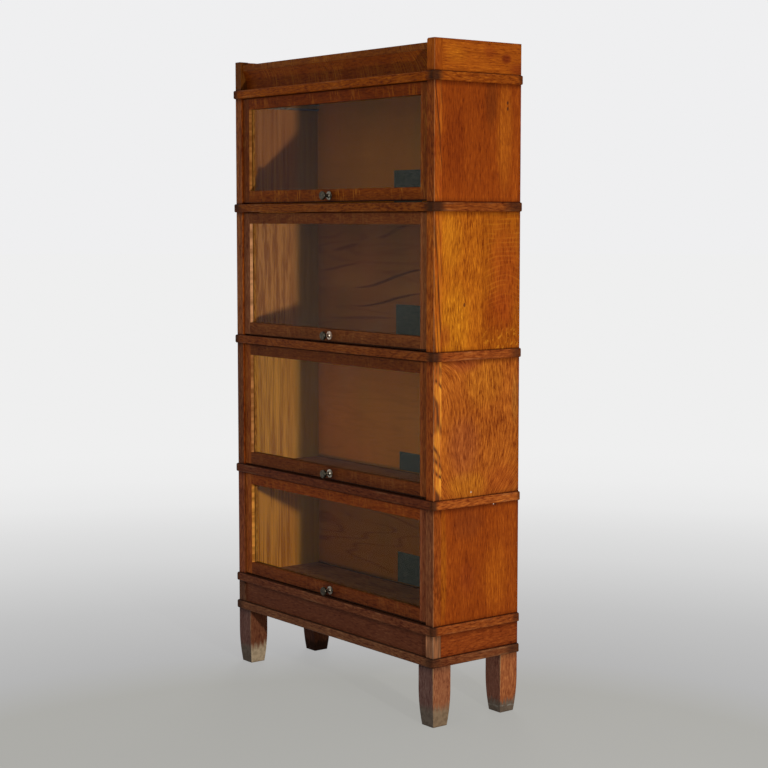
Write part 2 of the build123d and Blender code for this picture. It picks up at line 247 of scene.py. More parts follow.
def oak(
    name,
    seed,
    grain,
    tone,
    figure=0.3,
    contours=34.0,
    bold=1.0,
    gloss=0.42,
    dashes=(62.0, 270.0),
    open_pores=0.7,
    rays=(),
    boards=(),
    bend=None,
    extras=(),
):
    """Quarter-sawn oak under old shellac.

    seed shifts the pattern. grain gives the direction along, across and through the board.
    figure is the strength of the flowing growth lines and contours how close they lie. bold is
    the contrast of light and dark wood, and gloss the roughness. dashes says how many strokes of
    grain there are in a metre, along and across. boards say where in the panel a board begins,
    how its tone differs and how much calmer it is. bend turns the place across the board into
    that of a leaning grain. rays are functions of the finish that give the ribbons of a fleck,
    from 0 to 1, and how strongly they show. extras are functions that take the finish, its
    blotches and its fibre, and return layers of (mask, colour, how, roughness added).
    """
    f = Finish(name)
    along, across, through = grain(f)
    if bend:
        across = bend(f, across)
    shade, joint = 0.0, 0.0
    for place, step, calm in boards:
        beyond = f.y > place
        shade = beyond * step + shade
        bold = (1.0 - beyond * calm) * bold
        joint = near(f.y, place, joint_reach) + joint
        across = across + beyond * board_shift
    broad = f.noise(f.point(along * 1.1 + seed, across * 9.0 + seed, through * 9.0))
    across = across + (broad - 0.5) * 0.035
    coarse_point = f.point(along * 2.6 + seed, across * 42.0, through * 42.0)
    coarse = f.noise(coarse_point, detail=3.0, roughness=0.6, distortion=0.2)
    dash_along, dash_across = dashes
    dash_point = f.point(along * dash_along + seed, across * dash_across, through * dash_across)
    dash = f.noise(dash_point, roughness=0.65)
    fibre = f.noise(f.point(along * 60.0, across * 1100.0 + seed, through * 1100.0), roughness=0.6)
    pores = f.noise(f.point(along * 110.0, across * 1900.0, through * 1900.0 + seed), detail=1.0)
    pores = pores.ramp(0.60, 0.74) * dash.ramp(0.60, 0.42)
    contour = broad * contours
    rings = abs(contour.fraction() - 0.5).ramp(0.34, 0.5) * coarse.ramp(0.35, 0.5)
    blotch = f.noise(f.place, scale=8.0, detail=3.0, roughness=0.62)

    level = (coarse - 0.5) * 0.75 + (dash - 0.5) * 2.1 + (fibre - 0.5) * 0.6 + (blotch - 0.5) * 0.7
    level = level * bold + shade + 0.5
    deep = tinted(tone, dark_gain, dark_gain * 0.66, dark_gain * 0.7)
    light = tinted(tone, pale_gain, pale_gain * 1.2, pale_gain * 1.2)
    wood = f.mix(level.ramp(0.0, 0.5), deep, tone)
    wood = f.mix(level.ramp(0.5, 1.0), wood, light)
    wood = f.mix((rings * figure + joint * 0.5).smaller(1.0), wood, deep)
    roughness = gloss + (0.5 - blotch) * 0.12 + pores * 0.1
    height = dash * 0.4 + fibre * 0.25 - pores * 0.8 - rings * figure * 0.4 - joint * 0.5

    for ray in rays:
        ribbon, share = ray(f)
        fleck = ribbon.ramp(0.1, 1.0) * share
        wood = f.mix(fleck, wood, tinted(light, 1.1, 1.3, 1.4))
        height = height + fleck * 0.3
        roughness = roughness - fleck * 0.06

    wood = f.mix(pores * open_pores, wood, tinted(deep, 0.5, 0.45, 0.5))
    for extra in extras:
        for mask, layer, how, rough in extra(f, blotch, fibre):
            wood = f.mix(mask, wood, layer, how)
            roughness = roughness + mask * rough
    return f.surface(
        {
            "Base Color": wood,
            "Roughness": roughness.larger(0.2),
            "Specular IOR Level": polish,
            "Normal": f.bump(height, 0.35, 0.0006),
        }
    )


# near-black grime; also used as painted shade on the back-left leg's foot
grime_and_shade = (0.030, 0.013, 0.007)
shadow_brown = (0.012, 0.006, 0.004)
bare_tan = (0.42, 0.24, 0.11)
chip_white = (0.75, 0.62, 0.46)


# ------------------------------------------------------------------ wear and painted shade, by place
def panel_wear_and_shade(z_low, z_high, strength=1.0):
    """Painted shade and some dirt along a unit's top and foot, dirt at its rear edge, and a rubbed front
    corner.
    """

    def layers(f, blotch, fibre):
        # foot and head: painted shade in the joint over the band below and under the band above, with some
        # dirt
        foot = near(f.z, z_low, 0.0035) * 0.8 + near(f.z, z_low, 0.014) * blotch.ramp(0.35, 0.6) * 0.4
        head = near(f.z, z_high, 0.016) * 0.65
        rear = near(f.y, rear_y, 0.012) * blotch.ramp(0.3, 0.6) * 0.5
        rubbed = near(f.ax, side_x, 0.0024) * near(f.y, post_y, 0.0024) * blotch.ramp(0.38, 0.55)
        return (
            ((foot + head).smaller(0.95) * strength, (0.25, 0.17, 0.16), "MULTIPLY", 0.1),
            (rear * strength, (0.3, 0.2, 0.2), "MULTIPLY", 0.1),
            (rubbed * 0.35, bare_tan, "MIX", 0.1),
        )

    return layers


def golden_flank(tint, left_tint, share, slant, crowd, thick):
    """Bright sapwood on the outer side of a post, crossed by dark strokes.

    tint is that of the outer side and left_tint that of the front of the left-hand post. share is
    how much of the sapwood shows. slant is how far the strokes fall towards the rear, crowd how
    many there are in a metre and thick how broad they are.
    """

    def layers(f, blotch, fibre):
        flank = (f.ax > side_x - slack) * (f.y < post_back_y + hair)
        front = f.y < post_y + slack
        streak = f.noise(f.point(f.y * 190.0, f.z * 11.0, 6.0), roughness=0.6)
        gold = f.mix(streak.ramp(0.36, 0.60), (0.40, 0.085, 0.010), (0.72, 0.235, 0.020))
        bright = f.y.ramp(post_y, post_back_y) * 0.5 + 0.5
        run = f.noise(f.point((f.z + f.y * slant) * crowd, f.y * 8.0, 4.0), detail=1.0)
        stroke = near(run, 0.5, thick)
        return (
            (flank * bright * blotch.ramp(0.15, 0.5) * share, gold, "MIX", -0.03),
            (flank * stroke * streak.ramp(0.36, 0.50), (0.11, 0.026, 0.007), "MIX", 0.0),
            (flank, tint, "MULTIPLY", 0.0),
            (front, (1.06, 1.20, 1.6), "MULTIPLY", 0.0),
            (front * (f.x < 0.0), left_tint, "MULTIPLY", 0.0),
        )

    return layers


def lights_and_darks(*patches):
    """Broad patches of a panel that are paler or darker.

    Each has its y and z, half its width, half its height and its tint.
    """

    def layers(f, blotch, fibre):
        found = []
        for y, z, half_width, half_height, tint in patches:
            dy, dz = (f.y - y) / half_width, (f.z - z) / half_height
            reach = dy * dy + dz * dz + (blotch - 0.5) * 1.2
            found.append((reach.ramp(1.3, 0.0) * (f.ax > side_x - hair), tint, "MULTIPLY", 0.0))
        return found

    return layers


def marks(*spots):
    """Small dark knots or pale chips on the right-hand side: y and z, size and tone."""

    def layers(f, blotch, fibre):
        found = []
        for y, z, size, tone in spots:
            dx, dy, dz = f.x - side_x, f.y - y, (f.z - z) * 0.6
            mark = (dx * dx + dy * dy + dz * dz).root() + (fibre - 0.5) * size * 0.6
            found.append((mark.ramp(size, size * 0.6) * 0.85, tone, "MIX", 0.2))
        return found

    return layers


def inside_finish_and_shade(tone, streaky, short):
    """Thinner, paler finish on the inner face of a side panel; towards the rear it is plainer and has
    painted shade.

    streaky is the contrast of its streaks, and short how many of them follow in a metre.
    """

    def layers(f, blotch, fibre):
        inner = (f.ax < side_x - inside_depth) * (f.y > post_back_y - hair) * (f.y < rear_y - skin)
        fine = f.noise(f.point(f.y * 330.0, f.z * short, 2.0), roughness=0.6)
        broad = f.noise(f.point(f.y * 75.0, f.z * short * 0.25, 7.0), detail=1.0)
        streak = fine * 0.5 + broad * 0.5
        contrast = streaky - f.y.ramp(0.0, 0.07) * (streaky - 1.5)
        share = ((streak - 0.5) * contrast + 0.5).larger(0.0).smaller(1.0)
        inside = f.mix(share, tinted(tone, 0.72, 0.62, 0.6), tinted(tone, 1.22, 1.32, 1.3))
        inside = f.mix(fibre.ramp(0.55, 0.8) * 0.3, inside, tinted(tone, 0.5, 0.45, 0.4))
        # painted shade: greyer and greener over the rear part, where the lamp's shadow falls inside
        inside = f.mix(f.y.ramp(0.04, 0.09) * 0.8, inside, (0.77, 1.15, 1.26), "MULTIPLY")
        return ((inner, inside, "MIX", 0.1),)

    return layers


def back_glow(tone, foot):
    """Broad, soft changes of tone over a back panel, and darker along its foot."""

    def layers(f, blotch, fibre):
        glow = f.noise(f.point(f.x * 4.5, 0.0, f.z * 2.5 + tone[0] * 9.0))
        edge = (f.x + f.noise(f.point(f.z * 1.5, 3.0, 0.0)) * 0.02) * 5.2
        board = edge.fraction().ramp(0.0, 1.0)
        outer = f.y > back_face_y + skin
        plain = f.mix(glow.ramp(0.35, 0.65), (0.25, 0.130, 0.062), (0.36, 0.200, 0.100))
        return (
            (glow.ramp(0.50, 0.66) * 0.6, tinted(tone, 0.78, 0.95, 0.7), "MIX", 0.0),
            (glow.ramp(0.48, 0.34) * 0.5, tinted(tone, 1.12, 1.02, 1.3), "MIX", 0.0),
            (board * 0.20, (0.80, 0.78, 0.80), "MULTIPLY", 0.0),
            (near(f.z, foot, 0.012), (0.42, 0.50, 0.70), "MULTIPLY", 0.0),
            (outer * 0.75, plain, "MIX", 0.1),
        )

    return layers


def sweeps(*strokes):
    """Long strokes of a back panel's figure, thickest in their middle and rising in a slow curve.

    Each has its two ends, its height, how far it rises, its half thickness, how soft its edge
    is and its tint.
    """

    def layers(f, blotch, fibre):
        inner = f.y < back_face_y + skin
        wander = f.noise(f.point(f.x * 14.0, 0.0, f.z * 60.0)) * 0.006 - 0.003
        found = []
        for start, end, height, rise, half_thickness, soft, tint in strokes:
            along = f.x.ramp(start, end)
            swell = along * (1.0 - along) * 4.0
            middle = along * along * (3.0 - along * 2.0) * rise + height
            off = abs(f.z + wander - middle) / (swell * half_thickness + 0.0004)
            mask = off.ramp(1.0 + soft, 1.0 - soft) * swell.ramp(0.0, 0.2 + soft * 0.6) * inner
            found.append((mask, tint, "MULTIPLY", 0.0))
        return found

    return layers


def band_wear_and_shade(node, corner_reach, rear_reach, front_tint):
    """A front strip of its own tone, dark handled corners, rubbed edges, and painted shadow in the joints.

    corner_reach is how far the dirt spreads from the front corners, and rear_reach how far from
    the rear ends.
    """
    z_low, z_high = low(node, "z"), high(node, "z")

    def layers(f, blotch, fibre):
        dx = f.ax - band_x
        dy = f.y - band_y
        front = (band_x - f.ax).ramp(0.0, 0.02) * (f.y < door_y)
        corner = (dx * dx + dy * dy).root().ramp(corner_reach, corner_reach * 0.3)
        rear = f.y.ramp(rear_y - rear_reach, rear_y - rear_reach * 0.3)
        dirt = (corner + rear * 0.75).smaller(1.0) * blotch.ramp(0.12, 0.50)
        # painted shadow in the joints over and under the band
        seam = near(f.z, z_high, 0.0014) * 0.8 + near(f.z, z_low, 0.0014) * 0.12
        lines = near(f.z, z_low + 0.003, 0.003) + near(f.z, z_high - 0.003, 0.003)
        rubbed = lines * blotch.ramp(0.50, 0.70) * (1.0 - dirt)
        return (
            (front, front_tint, "MULTIPLY", 0.0),
            (dirt * 0.85, grime_and_shade, "MIX", 0.12),
            (rubbed * 0.22, bare_tan, "MIX", 0.1),
            (seam, shadow_brown, "MIX", 0.2),
        )

    return layers


def door_wear_and_shade(k, top, foot, left, right, reveal):
    """Painted shadow in the gaps round a door's frame and over its foot, and marks of hands round the knob.

    top, foot, left and right are the tints of its four members, and reveal is the tone of the
    inner edge that the glass lies behind.
    """
    low_z, high_z = low(f"door_{k}_frame", "z"), high(f"door_{k}_frame", "z")
    knob_z = (low(f"door_{k}_knob", "z") + high(f"door_{k}_knob", "z")) / 2

    def layers(f, blotch, fibre):
        across = (f.x + side_x) / (2 * side_x)
        # painted shadow in the gap under the door, wider towards the right
        gap = (abs(f.z - low_z) / (across * 0.0038 + 0.0016)).ramp(1.0, 0.3)
        gap = gap * ((f.z > low_z + 0.0004) * 0.4 + 0.6)
        # painted shadow in the gaps beside the posts and over the top rail
        edges = near(f.ax, post_x, 0.003) * 0.6 + near(f.z, high_z, 0.004) * 0.5
        dz = f.z - knob_z
        handled = (f.x * f.x + dz * dz).root().ramp(0.045, 0.012) * blotch.ramp(0.3, 0.6)
        stile = f.ax > sight_x
        upper = f.z > knob_z + 0.05
        members = f.mix(upper, foot, top)
        members = f.mix(stile, members, f.mix(f.x > 0.0, left, right))
        # painted shade over the foot of the bottom rail, deeper towards the right
        darker_foot = near(f.z, low_z, 0.030) * (1.0 - stile) * across.ramp(-0.5, 0.7) * 0.7
        inner_edge = near(f.ax, sight_x, 0.0014) * (f.y > door_y + 0.0008)
        streak = f.noise(f.point(f.x, f.y, f.z * 40.0), detail=3.0, roughness=0.7)
        dull, bright = tinted(reveal, 0.6, 0.55, 0.5), tinted(reveal, 1.3, 1.4, 1.5)
        edge_wood = f.mix(streak.ramp(0.35, 0.65), dull, bright)
        return (
            (1.0 - inner_edge, members, "MULTIPLY", 0.0),
            (darker_foot, (0.62, 0.60, 0.62), "MULTIPLY", 0.0),
            (inner_edge, edge_wood, "MIX", 0.1),
            ((gap + edges).smaller(0.95), shadow_brown, "MIX", 0.2),
            (handled * 0.6, (0.35, 0.28, 0.30), "MULTIPLY", 0.05),
        )

    return layers


def worn_block(f, blotch, fibre):
    """The right-hand post of the base has lost its colour; its edges stay dark."""
    right = f.x > 0.0
    front = f.y < post_y + slack
    streak = f.noise(f.point(f.x * 130.0, f.y * 130.0, f.z * 12.0), roughness=0.6)
    worn = f.mix(streak.ramp(0.38, 0.62), (0.20, 0.075, 0.030), (0.50, 0.185, 0.070))
    edges = (near(f.ax, side_x, 0.004) + near(f.y, post_back_y, 0.004)) * 0.5
    return (
        (right * 0.85, worn, "MIX", 0.15),
        (right * edges.smaller(1.0) * 0.7, (0.16, 0.105, 0.070), "MIX", 0.1),
        (right, f.mix(front, (0.94, 0.86, 0.72), (1.26, 1.44, 1.7)), "MULTIPLY", 0.0),
        (1.0 - right, (1.08, 1.40, 1.7), "MULTIPLY", 0.0),
    )


def leg_wear_and_shade(leg, front_tint, scuff_height, front_foot, side_foot, scratch_height=0.0):
    """A leg's front face is darker than its side, its top has painted shadow, and its foot is scuffed and
    greyed.

    scuff_height is that of the scuffed foot, whose tone differs between the two faces, and
    scratch_height that of a pale scratch.
    """
    middle_x = (low(leg, "x") + high(leg, "x")) / 2
    middle_y = (low(leg, "y") + high(leg, "y")) / 2
    leg_side = high(leg, "x") - low(leg, "x")
    leg_top = high(leg, "z")

    def layers(f, blotch, fibre):
        turned = (f.x - middle_x) + (f.y - middle_y)
        front = turned < 0.0
        run = f.noise(f.point(f.x * 150.0, f.y * 150.0, f.z * 20.0), roughness=0.6)
        uneven = f.z + (blotch - 0.5) * 0.03 + (run - 0.5) * 0.05
        scuffed = uneven.ramp(scuff_height * 1.15, scuff_height * 0.62)
        patch = f.noise(f.place, scale=95.0, detail=3.0, roughness=0.6)
        foot = f.mix(front, side_foot, front_foot)
        foot = f.mix(patch.ramp(0.45, 0.62) * 0.45, foot, (0.50, 0.47, 0.45), "MULTIPLY")
        foot = f.mix(patch.ramp(0.45, 0.30) * 0.3, foot, (1.35, 1.32, 1.3), "MULTIPLY")
        # pale line on each leg's front right corner: rubbed wood and a painted highlight
        corner = near(f.x - f.y, middle_x - middle_y + leg_side, 0.0035) * (f.z > scuff_height * 0.3)
        found = [
            (front, front_tint, "MULTIPLY", 0.1),
            (scuffed * 0.92, foot, "MIX", 0.25),
            (corner * run.ramp(0.35, 0.55) * 0.7, bare_tan, "MIX", 0.1),
            (near(f.z, 0.0, 0.004) * 0.4, grime_and_shade, "MIX", 0.2),
            # painted shadow of the base's lower band on the top of the leg
            (near(f.z, leg_top, 0.022) * 0.7, (0.50, 0.55, 0.62), "MULTIPLY", 0.0),
        ]
        if scratch_height:
            scratch = near(f.z + (blotch - 0.5) * 0.02, scratch_height, 0.003) * patch.ramp(0.55, 0.42)
            found.append((scratch * 0.5, (0.36, 0.34, 0.29), "MIX", 0.1))
        return found

    return layers


def shaded_beads(f, blotch, fibre):
    """Painted shade: the level beads over and under the glass are darkened."""
    return ((1.0 - upright_beads(f), (0.26, 0.28, 0.45), "MULTIPLY", 0.0),)


fillet_height = 0.0165  # of the flat strip over the hollow


def faded_fillet(f, blotch, fibre):
    """The flat strip over the hollow is duller, and paler in its middle."""
    fillet = f.z > high("crown_front", "z") - fillet_height
    return (
        (fillet, (0.88, 1.08, 1.9), "MULTIPLY", 0.0),
        (fillet * near(f.x, 0.0, 0.22), (1.25, 1.25, 1.1), "MULTIPLY", 0.0),
    )


def dark_left_end(f, blotch, fibre):
    """The front of the crown's left side is darker."""
    return (((f.x < 0.0) * (f.y < post_back_y), (0.42, 0.55, 1.2), "MULTIPLY", 0.0),)


# ------------------------------------------------------------------ grain and flecks
def band_grain(f):
    """Grain along each strip of a band, with a mitre at the front corners."""
    sides = (f.ax > inner_x - 0.0005) * ((band_x - f.ax) < (f.y - band_y))
    return chosen(sides, crosswise(f), backwards(f))


def leaning(f, across):
    """Grain that closes in towards the foot of the panel; its front half also opens at the top."""
    middle_z = (floor_z[3] + ceiling_z[3]) / 2
    drop = (middle_z - f.z) * (2 / (ceiling_z[3] - floor_z[3]))
    turn = drop * drop * drop * 0.65
    rear = f.y.ramp(-0.03, 0.04)
    turn = turn + (turn.larger(0.0) * 1.3 - turn) * rear
    ripple = f.noise(f.point(f.z * 22.0, f.y * 9.0, 0.0), detail=1.0)
    return (across + 0.005) * (turn + 1.0) + (ripple - 0.5) * 0.0035


arch_y = 0.094  # middle of the arches, towards the rear of the side


def arched_rays(f):
    """Fine flecks that arch across the rear board, flatter towards its top."""
    middle = (floor_z[2] + ceiling_z[2]) / 2
    away = f.y - arch_y
    steep = (f.z - middle).ramp(0.12, -0.02) * 4.5 + 1.0
    bow = away * away * steep
    drift = f.noise(f.place, scale=9.0, detail=1.0)
    ring = ((f.z + bow) * 560.0 + drift * 14.0).wave()
    broken = f.noise(f.point(f.y * 22.0, (f.z + bow) * 60.0, 0.0)).ramp(0.34, 0.62)
    height = (f.z - floor_z[2]).ramp(0.05, 0.16)
    return ring, f.y.ramp(0.020, 0.055) * height * broken * 0.22


def foot_rays(f):
    """Slanting flecks near the foot of the rear board."""
    height = (f.z - floor_z[2]).ramp(0.09, 0.02)
    ribbon = f.noise(f.point((f.y - f.z * 0.8) * 90.0, (f.z + f.y) * 34.0, 0.0), roughness=0.6)
    return ribbon.ramp(0.55, 0.66), f.y.ramp(0.0, 0.06) * height * 0.5


def rail_rays(strength):
    """Short upright flecks on the rails of a door."""

    def rays(f):
        patch = f.noise(f.point(f.x * 22.0, f.z * 9.0, 0.0), detail=1.0).ramp(0.44, 0.58)
        ribbon = f.noise(f.point((f.x + f.z * 0.12) * 190.0, f.z * 26.0, 0.0))
        return ribbon.ramp(0.50, 0.60), patch * strength

    return rays


def crown_rays(f):
    """Slanting flecks over the hollow."""
    patch = f.noise(f.point(f.x * 12.0, f.z * 12.0, 1.0), detail=1.0).ramp(0.36, 0.56)
    slant = f.z * (f.x.ramp(-0.3, 0.4) * 0.8 + 0.1)
    ribbon = f.noise(f.point((f.x + slant) * 190.0, f.z * 14.0, 0.0))
    return ribbon.ramp(0.50, 0.60), patch * 0.95


def upright_beads(f):
    """1 on the glazing beads beside the glass, 0 on the level ones over and under it."""
    return f.ax > sight_x - hair


def bead_grain(f):
    """Grain along each bead."""
    return chosen(upright_beads(f), crosswise(f), upright(f))


def door_grain(f):
    """Grain along each rail and up each stile."""
    return chosen(f.ax > sight_x, crosswise(f), upright(f))


def crown_grain(f):
    """Grain up the crown's posts and along its sides."""
    return chosen(f.y < post_back_y, backwards(f), upright(f))


# ------------------------------------------------------------------ tones of each part
side_tones = {
    1: (0.29, 0.050, 0.004),
    2: (0.45, 0.112, 0.006),
    3: (0.40, 0.096, 0.010),
    4: (0.27, 0.047, 0.004),
}
side_bold = {1: 0.76, 2: 1.1, 3: 1.15, 4: 0.80}
seams = {  # y at which the rear board begins, its step of tone and how much calmer it is
    1: ((0.080, 0.16, 0.0),),
    2: ((0.027, -0.16, 0.45),),
    3: ((0.050, -0.06, 0.0),),
    4: ((0.042, 0.10, 0.0),),
}
post_tones = {
    1: (0.26, 0.050, 0.005),
    2: (0.36, 0.073, 0.006),
    3: (0.29, 0.055, 0.006),
    4: (0.20, 0.053, 0.014),
}
flanks = {
    1: {"share": 0.40, "slant": 8.0, "crowd": 7.0, "thick": 0.012},
    2: {"share": 0.60, "slant": 14.0, "crowd": 6.0, "thick": 0.10},
    3: {"share": 0.95, "slant": 1.1, "crowd": 9.0, "thick": 0.035},
    4: {"share": 0.12, "slant": 6.0, "crowd": 9.0, "thick": 0.04},
}
flank_tints = {1: (1.07, 0.90, 0.84), 2: (1.00, 0.97, 0.82), 3: (1.22, 1.40, 1.60), 4: (1.12, 0.86, 0.50)}
left_post_tints = {1: (1.12, 1.50, 3.0), 2: (0.84, 1.15, 3.0), 3: (0.60, 0.86, 2.0), 4: (1.16, 0.94, 0.85)}
patches = {  # y and z, half width, half height, tint
    1: ((0.095, 1.45, 0.030, 0.14, (1.28, 1.6, 1.4)), (0.052, 1.54, 0.022, 0.09, (0.72, 0.75, 1.0)),
        (-0.06, 1.42, 0.03, 0.13, (0.86, 0.80, 0.9))),
    2: ((-0.065, 1.00, 0.055, 0.10, (1.22, 1.50, 1.3)), (-0.075, 1.19, 0.04, 0.09, (1.12, 1.28, 1.2)),
        (0.077, 1.02, 0.055, 0.06, (0.90, 0.74, 0.95)), (0.10, 1.12, 0.06, 0.13, (0.93, 0.74, 1.1)),
        (-0.092, 0.965, 0.02, 0.03, (0.74, 0.60, 1.0))),
    3: ((0.034, 0.85, 0.07, 0.07, (1.16, 1.34, 1.1)), (-0.02, 0.595, 0.07, 0.035, (1.20, 1.45, 1.1)),
        (-0.035, 0.69, 0.06, 0.08, (0.88, 0.86, 1.5)), (0.135, 0.80, 0.012, 0.08, (1.05, 1.30, 1.6)),
        (0.09, 0.60, 0.06, 0.05, (0.92, 0.80, 0.9)), (-0.03, 0.90, 0.07, 0.03, (0.80, 0.68, 1.2))),
    4: ((-0.097, 0.40, 0.012, 0.16, (1.35, 1.9, 1.4)), (0.075, 0.36, 0.05, 0.10, (1.22, 1.40, 1.1)),
        (-0.02, 0.50, 0.06, 0.05, (0.86, 0.90, 1.4)), (-0.02, 0.36, 0.03, 0.05, (0.90, 0.84, 1.2))),
}
crown_patches = (
    (0.100, 1.638, 0.016, 0.013, (0.58, 0.42, 0.8)),
    (-0.060, 1.640, 0.036, 0.024, (1.14, 1.28, 1.1)),
    (0.045, 1.652, 0.022, 0.018, (0.88, 0.78, 1.0)),
    (-0.127, 1.640, 0.026, 0.060, (0.76, 0.66, 0.9)),
    (0.140, 1.612, 0.030, 0.018, (0.72, 0.58, 0.9)),
)
knot = (0.050, 0.016, 0.008)
spots = {  # y and z, size, tone
    1: ((0.105, 1.531, 0.0032, knot), (0.105, 1.517, 0.0032, knot)),
    2: ((-0.032, 1.039, 0.0040, (0.10, 0.022, 0.008)),),
    3: ((-0.008, 0.577, 0.0019, chip_white),),
    4: ((0.066, 0.541, 0.0019, chip_white), (0.072, 0.539, 0.0030, knot)),
}
band_tones = {
    1: (0.225, 0.048, 0.007),
    2: (0.280, 0.061, 0.010),
    3: (0.365, 0.086, 0.013),
    4: (0.270, 0.060, 0.010),
}
band_looks = {
    1: {"corner_reach": 0.050, "rear_reach": 0.075, "front_tint": (1.11, 1.28, 1.0)},
    2: {"corner_reach": 0.034, "rear_reach": 0.045, "front_tint": (0.80, 0.88, 0.91)},
    3: {"corner_reach": 0.020, "rear_reach": 0.012, "front_tint": (0.37, 0.36, 0.72)},
    4: {"corner_reach": 0.022, "rear_reach": 0.030, "front_tint": (0.64, 0.82, 1.8)},
}
door_tones = {
    1: (0.215, 0.039, 0.003),
    2: (0.192, 0.049, 0.010),
    3: (0.168, 0.036, 0.006),
    4: (0.185, 0.044, 0.010),
}
door_looks = {
    1: {
        "top": (0.93, 0.87, 0.65),
        "foot": (1.14, 1.32, 1.35),
        "left": (0.76, 0.92, 2.0),
        "right": (1.13, 1.41, 2.5),
        "reveal": (0.53, 0.19, 0.040),
    },
    2: {
        "top": (0.96, 0.99, 1.12),
        "foot": (1.10, 1.22, 1.45),
        "left": (1.24, 1.54, 2.7),
        "right": (1.51, 1.78, 2.5),
        "reveal": (0.72, 0.31, 0.120),
    },
    3: {
        "top": (0.88, 0.98, 1.12),
        "foot": (0.97, 1.08, 1.30),
        "left": (1.70, 1.82, 1.7),
        "right": (1.64, 1.88, 2.3),
        "reveal": (0.58, 0.22, 0.059),
    },
    4: {
        "top": (1.38, 1.15, 0.69),
        "foot": (1.03, 0.98, 0.95),
        "left": (1.87, 1.82, 1.3),
        "right": (1.53, 1.73, 2.6),
        "reveal": (0.80, 0.30, 0.046),
    },
}
rail_flecks = {1: 1.0, 2: 0.3, 3: 0.35, 4: 0.35}
inside_looks = {
    1: {"tone": (0.43, 0.136, 0.028), "streaky": 3.4, "short": 8.0},
    2: {"tone": (0.53, 0.188, 0.040), "streaky": 10.0, "short": 22.0},
    3: {"tone": (0.63, 0.250, 0.028), "streaky": 7.0, "short": 12.0},
    4: {"tone": (0.63, 0.220, 0.018), "streaky": 12.0, "short": 5.0},
}
back_tones = {
    1: (0.69, 0.232, 0.022),
    2: (0.45, 0.150, 0.034),
    3: (0.81, 0.268, 0.028),
    4: (0.46, 0.145, 0.014),
}
back_figure = {1: 0.1, 2: 0.28, 3: 0.15, 4: 0.5}
back_contours = {1: 14.0, 2: 9.0, 3: 14.0, 4: 12.0}
dark_sweep, faint_sweep, pale_sweep = (0.36, 0.34, 0.46), (0.64, 0.62, 0.74), (1.16, 1.22, 1.12)
second_back_sweeps = (  # two ends, height, rise, half thickness, softness, tint
    (-0.42, -0.09, 1.082, 0.008, 0.028, 1.0, pale_sweep),
    (-0.20, 0.36, 1.045, 0.030, 0.022, 1.0, pale_sweep),
    (-0.30, 0.15, 1.057, 0.058, 0.0038, 0.5, dark_sweep),
    (-0.30, 0.15, 1.006, 0.044, 0.0030, 0.5, dark_sweep),
    (-0.44, -0.17, 1.103, 0.022, 0.0032, 0.8, faint_sweep),
    (-0.37, -0.19, 1.160, 0.018, 0.0050, 0.8, faint_sweep),
    (-0.16, 0.03, 1.197, 0.034, 0.0055, 0.8, faint_sweep),
    (0.02, 0.44, 1.118, 0.030, 0.0040, 0.7, faint_sweep),
    (0.10, 0.40, 1.160, 0.022, 0.0040, 0.7, faint_sweep),
    (0.06, 0.42, 1.028, 0.020, 0.0036, 0.7, faint_sweep),
    (-0.44, 0.02, 0.968, 0.012, 0.0036, 0.8, faint_sweep),
)

for k in sections:
    bottom, top = floor_z[k], ceiling_z[k]
    figured = (sweeps(*second_back_sweeps),) if k == 2 else ()
    dress(
        oak(
            f"side_oak_{k}",
            3.1 * k,
            upright_panel,
            side_tones[k],
            figure=0.25,
            bold=side_bold[k],
            dashes=(44.0, 400.0),
            boards=seams[k],
            bend=leaning if k == 3 else None,
            rays=(arched_rays, foot_rays) if k == 2 else (),
            extras=(
                lights_and_darks(*patches[k]),
                panel_wear_and_shade(bottom, top),
                marks(*spots[k]),
                inside_finish_and_shade(**inside_looks[k]),
            ),
        ),
        f"section_{k}_sides",
    )
    dress(
        oak(
            f"post_oak_{k}",
            5.7 * k,
            upright,
            post_tones[k],
            figure=0.7,
            extras=(
                golden_flank(flank_tints[k], left_post_tints[k], **flanks[k]),
                panel_wear_and_shade(bottom, top),
            ),
        ),
        f"section_{k}_posts",
    )
    dress(
        oak(
            f"band_oak_{k}",
            7.3 * k,
            band_grain,
            band_tones[k],
            figure=0.6,
            extras=(band_wear_and_shade(f"section_{k}_band", **band_looks[k]),),
        ),
        f"section_{k}_band",
    )
    dress(
        oak(
            f"door_oak_{k}",
            2.9 * k,
            door_grain,
            door_tones[k],
            figure=0.4,
            bold=0.8,
            rays=(rail_rays(rail_flecks[k]),),
            extras=(door_wear_and_shade(k, **door_looks[k]),),
        ),
        f"door_{k}_frame",
    )
    dress(
        oak(f"bead_oak_{k}", 4.1 * k, bead_grain, (0.50, 0.19, 0.035), extras=(shaded_beads,)),
        f"door_{k}_glazing_beads",
    )
    dress(
        oak(
            f"back_oak_{k}",
            6.3 * k,
            crosswise,
            back_tones[k],
            figure=back_figure[k],
            contours=back_contours[k],
            bold=0.38,
            gloss=0.5,
            open_pores=0.2,
            extras=(*figured, back_glow(back_tones[k], bottom)),
        ),
        f"section_{k}_back",
    )
    dress(
        oak(
            f"floor_oak_{k}",
            1.7 * k,
            crosswise,
            (0.30, 0.118, 0.030),
            figure=0.6,
            contours=12.0,
            bold=0.8,
            gloss=0.45,
        ),
        f"section_{k}_floor",
    )
    dress(
        oak(f"runner_oak_{k}", 8.9 * k, backwards, (0.20, 0.14, 0.09), gloss=0.5),
        f"section_{k}_runners",
    )

